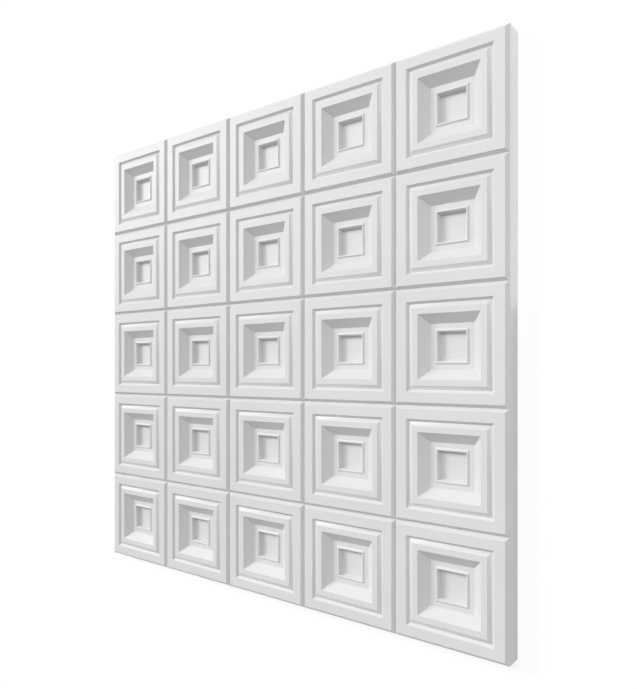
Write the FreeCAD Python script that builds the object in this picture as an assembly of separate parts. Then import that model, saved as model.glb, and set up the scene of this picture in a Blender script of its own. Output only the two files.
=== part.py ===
import FreeCAD, Part
import os

# A square wall panel cast in one piece of plaster. Its face is a grid of coffers, and every coffer is
# one moulding that runs round the square with mitred corners: a bevelled joint, two flat frames with a
# groove between them, a slope down to a ledge, and a low rim round a sunken centre.
# The panel lies on its flat back with its face up. +X is to the right and +Y is up the wall, as it is
# hung, and the origin is the middle of the back. All sizes are in millimetres.

# The grid of coffers
coffers_across = 5
coffers_up = 5

# The moulding, from the joint with the next coffer in to the centre.
# A width is level, a run is a slope's level width, and a depth or a rise is its change of height.
joint_run = 2.8
joint_depth = 3.0
outer_frame_width = 8.6
groove_outer_run = 2.2
groove_inner_run = 3.5
groove_depth = 2.2
inner_frame_width = 5.1
slope_run = 8.4
slope_depth = 7.9
ledge_width = 4.3
rim_outer_run = 1.4
rim_rise = 1.2
rim_width = 1.0
centre_wall_run = 1.4
centre_depth = 5.1
centre_side = 22.6

# The plaster left behind the sunken centre
backing_thickness = 8.2

# Each step of the moulding as its level run and its rise
moulding_steps = [
    (joint_run, joint_depth),
    (outer_frame_width, 0),
    (groove_outer_run, -groove_depth),
    (groove_inner_run, groove_depth),
    (inner_frame_width, 0),
    (slope_run, -slope_depth),
    (ledge_width, 0),
    (rim_outer_run, rim_rise),
    (rim_width, 0),
    (centre_wall_run, -centre_depth),
]
moulding_width = sum(run for run, rise in moulding_steps)
coffer_pitch = centre_side + 2 * moulding_width
panel_thickness = backing_thickness + centre_depth - rim_rise + slope_depth


def moulding_section():
    """The moulding's closed section on the coffer's +X side, from the back up to its face."""
    x = coffer_pitch / 2
    z = panel_thickness - joint_depth
    outline = [FreeCAD.Vector(x, 0, 0), FreeCAD.Vector(x, 0, z)]
    for run, rise in moulding_steps:
        x -= run
        z += rise
        outline.append(FreeCAD.Vector(x, 0, z))
    outline.append(FreeCAD.Vector(x, 0, 0))
    return Part.makePolygon(outline + outline[:1])


def joint_path():
    """The coffer's outer square, started in the middle of a side so that all corners are mitred."""
    half = coffer_pitch / 2
    turns = [(half, 0), (half, half), (-half, half), (-half, -half), (half, -half), (half, 0)]
    return Part.makePolygon([FreeCAD.Vector(x, y, 0) for x, y in turns])


def coffer():
    """One coffer, as a mitred sweep of the moulding round a plain square centre."""
    solid = True
    frenet = False
    mitred = 1
    moulding = joint_path().makePipeShell([moulding_section()], solid, frenet, mitred)
    corner = FreeCAD.Vector(-centre_side / 2, -centre_side / 2, 0)
    centre = Part.makeBox(centre_side, centre_side, backing_thickness, corner)
    return moulding.fuse(centre)


def panel():
    """The coffers side by side as one casting, with one flat back and four straight edges."""
    one_coffer = coffer()
    coffers = []
    for column in range(coffers_across):
        for row in range(coffers_up):
            x = (column - (coffers_across - 1) / 2) * coffer_pitch
            y = (row - (coffers_up - 1) / 2) * coffer_pitch
            coffers.append(one_coffer.translated(FreeCAD.Vector(x, y, 0)))
    casting = coffers[0].fuse(coffers[1:])
    return casting.removeSplitter().Solids[0]


os.makedirs("parts", exist_ok=True)
wall_panel = panel()
wall_panel.exportStep("parts/wall_panel.step")
size = wall_panel.BoundBox
print(f"wall_panel: {size.XLength:.1f} x {size.YLength:.1f} x {size.ZLength:.1f} mm,"
      f" {wall_panel.Volume / 1000:.1f} cm3, {len(wall_panel.Faces)} faces, valid {wall_panel.isValid()}")
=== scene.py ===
import math
import bmesh
import bpy
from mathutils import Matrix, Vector


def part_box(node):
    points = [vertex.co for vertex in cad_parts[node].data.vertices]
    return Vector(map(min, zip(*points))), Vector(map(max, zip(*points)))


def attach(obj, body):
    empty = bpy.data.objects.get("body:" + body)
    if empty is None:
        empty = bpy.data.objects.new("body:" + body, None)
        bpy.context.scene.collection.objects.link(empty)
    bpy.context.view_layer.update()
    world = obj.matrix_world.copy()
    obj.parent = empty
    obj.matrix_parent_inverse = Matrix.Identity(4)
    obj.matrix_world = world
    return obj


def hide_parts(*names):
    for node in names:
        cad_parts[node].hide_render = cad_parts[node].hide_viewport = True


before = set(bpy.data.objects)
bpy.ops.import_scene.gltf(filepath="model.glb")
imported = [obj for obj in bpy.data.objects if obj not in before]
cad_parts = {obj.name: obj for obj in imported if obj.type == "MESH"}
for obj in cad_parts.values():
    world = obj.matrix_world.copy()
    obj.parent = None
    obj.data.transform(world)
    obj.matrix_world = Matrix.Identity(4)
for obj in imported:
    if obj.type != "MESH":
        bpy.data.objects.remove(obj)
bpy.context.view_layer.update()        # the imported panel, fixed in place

mm = 0.001
plainWhite = (1, 1, 1, 1)
scene = bpy.context.scene
low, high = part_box("wall_panel")
print("frame loaded, panel", [round(side / mm, 1) for side in high - low], "mm")


# small helpers for node trees

def addNode(tree, kind, values=None, **settings):
    made = tree.nodes.new(kind)
    for name, value in settings.items():
        setattr(made, name, value)
    for name, value in (values or {}).items():
        made.inputs[name].default_value = value
    return made


def addRamp(tree, spread, tones):
    ramp = addNode(tree, "ShaderNodeValToRGB")
    for stop, position, tone in zip(ramp.color_ramp.elements, spread, tones):
        stop.position = position
        stop.color = tone
    return ramp


def newMaterial(name):
    material = bpy.data.materials.new(name)
    material.use_nodes = True
    material.node_tree.nodes.clear()
    return material, material.node_tree


# the cast panel: each step of the moulding is (level run, rise) in mm, from the joint in to the centre
panelForm = {
    "coffersAcross": 5,
    "coffersUp": 5,
    "steps": {
        "jointBevel": (2.8, 3.0),
        "outerFrame": (8.6, 0.0),
        "grooveFall": (2.2, -2.2),
        "grooveRise": (3.5, 2.2),
        "innerFrame": (5.1, 0.0),
        "slope": (8.4, -7.9),
        "ledge": (4.3, 0.0),
        "rimRise": (1.4, 1.2),
        "rimTop": (1.0, 0.0),
        "centreWall": (1.4, -5.1),
    },
    "arrisWidth": 0.15,      # mm that an arris or a hollow is softened by on each side
    "lipRounding": 0.8,      # mm, the same for the rim's inner lip, which is rounder
    "arrisSegments": 3,
    "flatAngle": 5,          # degrees, under which two faces are one surface
    "creaseAngle": 32,       # degrees, past which an edge stays crisp
    "areaWeight": 100,       # how far the larger face rules the shading, so that flats stay flat
}


def buildPanel(form):
    steps = list(form["steps"].values())
    jointLevel = high.z - form["steps"]["jointBevel"][1] * mm
    rimLevel = jointLevel + sum(rise for run, rise in steps[:-1]) * mm
    sameLevel = 1e-6         # metres, under which two heights are one
    cornerRise = 0.5 * jointLevel    # more than a mitre rises, and less than the slab's corners
    steepWall = 0.5          # a normal's rise, which only the centre's wall is under of the rim's slopes
    pointsDown = -0.9        # the back's normal is past this, and its arrises' aren't
    faceSlot, backSlot = 0, 1

    # one square for each coffer, at the level of the joints' bottoms
    bm = bmesh.new()
    bmesh.ops.create_grid(bm, x_segments=form["coffersAcross"], y_segments=form["coffersUp"], size=0.5)
    bmesh.ops.scale(bm, vec=(high.x - low.x, high.y - low.y, 1), verts=bm.verts)
    bmesh.ops.translate(bm, vec=(0, 0, jointLevel), verts=bm.verts)
    coffers = list(bm.faces)

    # the edges go down to the floor, and the back closes them
    outline = [edge for edge in bm.edges if edge.is_boundary]
    skirt = bmesh.ops.extrude_edge_only(bm, edges=outline)["geom"]
    feet = [part for part in skirt if isinstance(part, bmesh.types.BMVert)]
    bmesh.ops.translate(bm, vec=(0, 0, low.z - jointLevel), verts=feet)
    footEdges = [edge for edge in bm.edges if edge.is_boundary]
    bmesh.ops.contextual_create(bm, geom=footEdges)

    # every step of the moulding is an inset of all the coffers at once, mitred by the squares' corners
    for run, rise in steps:
        bmesh.ops.inset_individual(bm, faces=coffers, thickness=run * mm, depth=rise * mm,
                                   use_even_offset=True)
    bmesh.ops.recalc_face_normals(bm, faces=bm.faces)

    def liesAt(edge, level):
        return abs(edge.verts[0].co.z - level) < sameLevel

    # cast plaster has no knife edges: the level arrises and hollows are softened, and the slab's corners
    def softened(edge):
        if edge.calc_face_angle() < math.radians(form["flatAngle"]):
            return False
        rise = abs(edge.verts[0].co.z - edge.verts[1].co.z)
        if rise > sameLevel:
            return rise > cornerRise
        jointBottom = liesAt(edge, jointLevel) and edge.calc_face_angle_signed() < 0
        return not jointBottom

    arrises = [edge for edge in bm.edges if softened(edge)]
    lips = [edge for edge in arrises
            if liesAt(edge, rimLevel) and any(face.normal.z < steepWall for face in edge.link_faces)]
    others = [edge for edge in arrises if edge not in lips]
    for edges, width in ((lips, form["lipRounding"]), (others, form["arrisWidth"])):
        bmesh.ops.bevel(bm, geom=edges, offset=width * mm, offset_type="OFFSET",
                        segments=form["arrisSegments"], profile=0.5, affect="EDGES", material=-1)
    bmesh.ops.recalc_face_normals(bm, faces=bm.faces)

    for face in bm.faces:
        face.smooth = True
        face.material_index = backSlot if face.normal.z < pointsDown else faceSlot
    for edge in bm.edges:
        edge.smooth = edge.calc_face_angle() < math.radians(form["creaseAngle"])

    mesh = bpy.data.meshes.new("coffered_panel")
    bm.to_mesh(mesh)
    bm.free()
    panel = bpy.data.objects.new("coffered_panel", mesh)
    scene.collection.objects.link(panel)
    level = panel.modifiers.new("levelFaces", "WEIGHTED_NORMAL")
    level.keep_sharp = True
    level.weight = form["areaWeight"]
    print("panel modelled,", len(mesh.polygons), "faces")
    return panel


# the plaster that the mould left: near white with a satin sheen, fine grain, a few tiny air holes, and
# painted shade in the hollows
plasterFinish = {
    "tones": ((0.712, 0.712, 0.710, 1), (0.732, 0.732, 0.730, 1)),
    "toneSpread": (0.35, 0.65),      # of the clouds, where each tone is reached
    "cloudsPerMetre": 14,
    "cloudDetail": 4,
    "grainPerMetre": 1500,
    "grainDetail": 3,
    "grainDepth": 0.02 * mm,
    "roughLow": 0.43,
    "roughHigh": 0.51,
    "holesPerMetre": 70,
    "holeRadius": 0.022,     # of the space between holes
    "holeShare": 0.25,       # of the places that have one
    "holeDepth": 0.2 * mm,
    "paintedHollowShade": 0.86,     # painted shade: the share of the tone left where a hollow is closed in on all sides
    "hollowReach": 5 * mm,   # how far off a wall still closes a hollow in
    "specular": 0.5,
}


def castPlaster(finish):
    material, tree = newMaterial("castPlaster")
    link = tree.links.new
    out = addNode(tree, "ShaderNodeOutputMaterial")
    shader = addNode(tree, "ShaderNodeBsdfPrincipled", {"Specular IOR Level": finish["specular"]})
    link(shader.outputs["BSDF"], out.inputs["Surface"])
    place = addNode(tree, "ShaderNodeTexCoord").outputs["Object"]

    clouds = addNode(tree, "ShaderNodeTexNoise",
                     {"Scale": finish["cloudsPerMetre"], "Detail": finish["cloudDetail"]})
    tone = addRamp(tree, finish["toneSpread"], finish["tones"])
    link(place, clouds.inputs["Vector"])
    link(clouds.outputs["Fac"], tone.inputs["Fac"])

    # painted shade: the base colour is darkened in the hollows, the more so the closer the walls close them
    # in, standing in for the shade that falls there
    hollows = addNode(tree, "ShaderNodeAmbientOcclusion", {"Distance": finish["hollowReach"]},
                      only_local=True)
    shade = addNode(tree, "ShaderNodeMapRange", {"To Min": finish["paintedHollowShade"], "To Max": 1})
    paintedShadeTone = addNode(tree, "ShaderNodeVectorMath", operation="SCALE")
    link(hollows.outputs["AO"], shade.inputs["Value"])
    link(tone.outputs["Color"], paintedShadeTone.inputs[0])
    link(shade.outputs["Result"], paintedShadeTone.inputs["Scale"])
    # the base colour carries the painted shade of the hollows
    link(paintedShadeTone.outputs["Vector"], shader.inputs["Base Color"])

    rough = addNode(tree, "ShaderNodeMapRange",
                    {"To Min": finish["roughLow"], "To Max": finish["roughHigh"]})
    link(clouds.outputs["Fac"], rough.inputs["Value"])
    link(rough.outputs["Result"], shader.inputs["Roughness"])

    # air holes sit at scattered points, and a random pick leaves most points without one
    points = addNode(tree, "ShaderNodeTexVoronoi", {"Scale": finish["holesPerMetre"]})
    picked = addNode(tree, "ShaderNodeMath", {1: finish["holeShare"]}, operation="LESS_THAN")
    split = addNode(tree, "ShaderNodeSeparateColor")
    bowl = addNode(tree, "ShaderNodeMapRange",
                   {"From Min": finish["holeRadius"], "From Max": 0, "To Max": 1})
    hole = addNode(tree, "ShaderNodeMath", operation="MULTIPLY")
    link(place, points.inputs["Vector"])
    link(points.outputs["Color"], split.inputs["Color"])
    link(split.outputs["Red"], picked.inputs[0])
    link(points.outputs["Distance"], bowl.inputs["Value"])
    link(bowl.outputs["Result"], hole.inputs[0])
    link(picked.outputs["Value"], hole.inputs[1])

    grain = addNode(tree, "ShaderNodeTexNoise",
                    {"Scale": finish["grainPerMetre"], "Detail": finish["grainDetail"]})
    grainBump = addNode(tree, "ShaderNodeBump", {"Distance": finish["grainDepth"]})
    holeBump = addNode(tree, "ShaderNodeBump", {"Distance": finish["holeDepth"]}, invert=True)
    link(place, grain.inputs["Vector"])
    link(grain.outputs["Fac"], grainBump.inputs["Height"])
    link(grainBump.outputs["Normal"], holeBump.inputs["Normal"])
    link(hole.outputs["Value"], holeBump.inputs["Height"])
    link(holeBump.outputs["Normal"], shader.inputs["Normal"])
    print("plaster face mixed")
    return material


# the open side of the mould, struck off level: a little uneven in tone, with drag lines and a sandy tooth
backFinish = {
    "tones": ((0.70, 0.70, 0.69, 1), (0.78, 0.78, 0.77, 1)),
    "toneSpread": (0.3, 0.7),        # of the drag lines, where each tone is reached
    "dragPerMetre": (6, 420, 6),
    "dragDetail": 4,
    "dragDepth": 0.25 * mm,
    "toothPerMetre": 900,
    "toothDetail": 2,
    "toothDepth": 0.12 * mm,
    "roughness": 0.92,
    "specular": 0.2,
}


def struckPlaster(finish):
    material, tree = newMaterial("struckPlaster")
    link = tree.links.new
    out = addNode(tree, "ShaderNodeOutputMaterial")
    shader = addNode(tree, "ShaderNodeBsdfPrincipled",
                     {"Specular IOR Level": finish["specular"], "Roughness": finish["roughness"]})
    link(shader.outputs["BSDF"], out.inputs["Surface"])
    place = addNode(tree, "ShaderNodeTexCoord").outputs["Object"]

    stretch = addNode(tree, "ShaderNodeMapping", {"Scale": finish["dragPerMetre"]})
    drag = addNode(tree, "ShaderNodeTexNoise", {"Scale": 1, "Detail": finish["dragDetail"]})
    tone = addRamp(tree, finish["toneSpread"], finish["tones"])
    link(place, stretch.inputs["Vector"])
    link(stretch.outputs["Vector"], drag.inputs["Vector"])
    link(drag.outputs["Fac"], tone.inputs["Fac"])
    link(tone.outputs["Color"], shader.inputs["Base Color"])

    tooth = addNode(tree, "ShaderNodeTexNoise",
                    {"Scale": finish["toothPerMetre"], "Detail": finish["toothDetail"]})
    dragBump = addNode(tree, "ShaderNodeBump", {"Distance": finish["dragDepth"]})
    toothBump = addNode(tree, "ShaderNodeBump", {"Distance": finish["toothDepth"]})
    link(place, tooth.inputs["Vector"])
    link(drag.outputs["Fac"], dragBump.inputs["Height"])
    link(dragBump.outputs["Normal"], toothBump.inputs["Normal"])
    link(tooth.outputs["Fac"], toothBump.inputs["Height"])
    link(toothBump.outputs["Normal"], shader.inputs["Normal"])
    print("plaster back mixed")
    return material


panel = buildPanel(panelForm)
panel.data.materials.append(castPlaster(plasterFinish))
panel.data.materials.append(struckPlaster(backFinish))
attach(panel, "root")
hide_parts("wall_panel")


# the floor shows nearly white to the camera and keeps the panel's soft shadow
floorForm = {
    "halfSide": 8.0,         # metres
    "tone": 0.9,
    "whiteShare": 0.75,      # how much of what the camera sees is plain white, and the rest is the lit floor
    "white": 1.1,
}


def seenDirectly(tree):
    # 1 for camera, mirror and see-through rays, 0 for the light that the stage sends to the panel
    rays = addNode(tree, "ShaderNodeLightPath")
    direct = addNode(tree, "ShaderNodeMath", operation="MAXIMUM")
    anySight = addNode(tree, "ShaderNodeMath", operation="MAXIMUM")
    tree.links.new(rays.outputs["Is Camera Ray"], direct.inputs[0])
    tree.links.new(rays.outputs["Is Glossy Ray"], direct.inputs[1])
    tree.links.new(direct.outputs["Value"], anySight.inputs[0])
    tree.links.new(rays.outputs["Is Transmission Ray"], anySight.inputs[1])
    return anySight.outputs["Value"]


def buildFloor(form):
    bm = bmesh.new()
    bmesh.ops.create_grid(bm, x_segments=1, y_segments=1, size=form["halfSide"])
    mesh = bpy.data.meshes.new("floor")
    bm.to_mesh(mesh)
    bm.free()
    floor = bpy.data.objects.new("floor", mesh)
    scene.collection.objects.link(floor)

    material, tree = newMaterial("paleFloor")
    link = tree.links.new
    out = addNode(tree, "ShaderNodeOutputMaterial")
    matte = addNode(tree, "ShaderNodeBsdfDiffuse", {"Color": (form["tone"],) * 3 + (1,)})
    glow = addNode(tree, "ShaderNodeEmission", {"Strength": form["white"]})
    share = addNode(tree, "ShaderNodeMath", {1: form["whiteShare"]}, operation="MULTIPLY")
    both = addNode(tree, "ShaderNodeMixShader")
    link(seenDirectly(tree), share.inputs[0])
    link(share.outputs["Value"], both.inputs["Fac"])
    link(matte.outputs["BSDF"], both.inputs[1])
    link(glow.outputs["Emission"], both.inputs[2])
    link(both.outputs["Shader"], out.inputs["Surface"])
    mesh.materials.append(material)
    print("floor laid")


# soft studio light: an even sky, a broad key from the upper left, a weaker one from the top, a side lamp
# on the right, and a weak strip on the floor beside the upper half of the right edge
lightForm = {
    "sky": 0.265,
    "farLamps": {            # compass angle from +X, height angle, degrees across, watts a square metre
        "keyLamp": (152, 33, 28, 2.0),
        "topLamp": (90, 60, 26, 1.05),
    },
    "farPlace": 3.0,         # metres, where the far lamps stand in the file, with no bearing on their light
    "nearLamps": {           # compass angle from +X, height angle, distance in metres, side in metres, watts
        "sideLamp": (16, 22, 1.22, 0.5, 1.7),
    },
    "floorStrip": {          # a lamp that lies face up
        "middle": (0.2618, 0.20, 0.0006),   # metres
        "sides": (0.022, 0.34),             # metres
        "watts": 0.013,
    },
}


def buildLight(form):
    world = bpy.data.worlds.new("studioSky")
    world.use_nodes = True
    scene.world = world
    tree = world.node_tree
    tree.nodes.clear()
    link = tree.links.new
    out = addNode(tree, "ShaderNodeOutputWorld")
    sky = addNode(tree, "ShaderNodeBackground", {"Color": plainWhite, "Strength": form["sky"]})
    seen = addNode(tree, "ShaderNodeBackground", {"Color": plainWhite, "Strength": 1})
    mix = addNode(tree, "ShaderNodeMixShader")
    link(seenDirectly(tree), mix.inputs["Fac"])
    link(sky.outputs["Background"], mix.inputs[1])
    link(seen.outputs["Background"], mix.inputs[2])
    link(mix.outputs["Shader"], out.inputs["Surface"])

    def held(name, lamp, spot, turn):
        holder = bpy.data.objects.new(name, lamp)
        holder.location = spot
        holder.rotation_euler = turn
        holder.visible_camera = False
        scene.collection.objects.link(holder)

    def aimed(name, lamp, compass, height, distance):
        around, above = math.radians(compass), math.radians(height)
        level = math.cos(above)
        towards = Vector((math.cos(around) * level, math.sin(around) * level, math.sin(above)))
        held(name, lamp, towards * distance, (-towards).to_track_quat("-Z", "Y").to_euler())

    for name, (compass, height, across, watts) in form["farLamps"].items():
        lamp = bpy.data.lights.new(name, "SUN")
        lamp.angle = math.radians(across)
        lamp.energy = watts
        aimed(name, lamp, compass, height, form["farPlace"])
    for name, (compass, height, distance, side, watts) in form["nearLamps"].items():
        lamp = bpy.data.lights.new(name, "AREA")
        lamp.shape = "SQUARE"
        lamp.size = side
        lamp.energy = watts
        aimed(name, lamp, compass, height, distance)
    strip = bpy.data.lights.new("floorStrip", "AREA")
    strip.shape = "RECTANGLE"
    strip.size, strip.size_y = form["floorStrip"]["sides"]
    strip.energy = form["floorStrip"]["watts"]
    held("floorStrip", strip, form["floorStrip"]["middle"], (math.pi, 0, 0))
    print("light set")


# the camera, measured from the middle of the panel's back; it keeps the panel's upright lines upright
cameraForm = {
    "place": (0.4258, -0.0192, 0.5128),     # metres
    "turn": 38.60,           # degrees from straight down, towards the panel's right
    "focalPixels": 640.6,
    "centrePixel": (288.5, 369.5),
    "imagePixels": (637, 689),
    "sensor": 36,            # mm
    "nearest": 0.01,         # metres, the closest that the camera sees
}


def buildCamera(form):
    data = bpy.data.cameras.new("camera")
    camera = bpy.data.objects.new("camera", data)
    scene.collection.objects.link(camera)
    camera.location = form["place"]
    camera.rotation_euler = (0, math.radians(form["turn"]), 0)
    wide, tall = form["imagePixels"]
    longSide = max(wide, tall)
    data.sensor_width = form["sensor"]
    data.lens = form["focalPixels"] / longSide * data.sensor_width
    data.shift_x = (wide / 2 - form["centrePixel"][0]) / longSide
    data.shift_y = (form["centrePixel"][1] - tall / 2) / longSide
    data.clip_start = form["nearest"]
    scene.camera = camera
    print("camera placed, lens", round(data.lens, 2), "mm")


buildFloor(floorForm)
buildLight(lightForm)
buildCamera(cameraForm)
scene.view_settings.view_transform = "Standard"
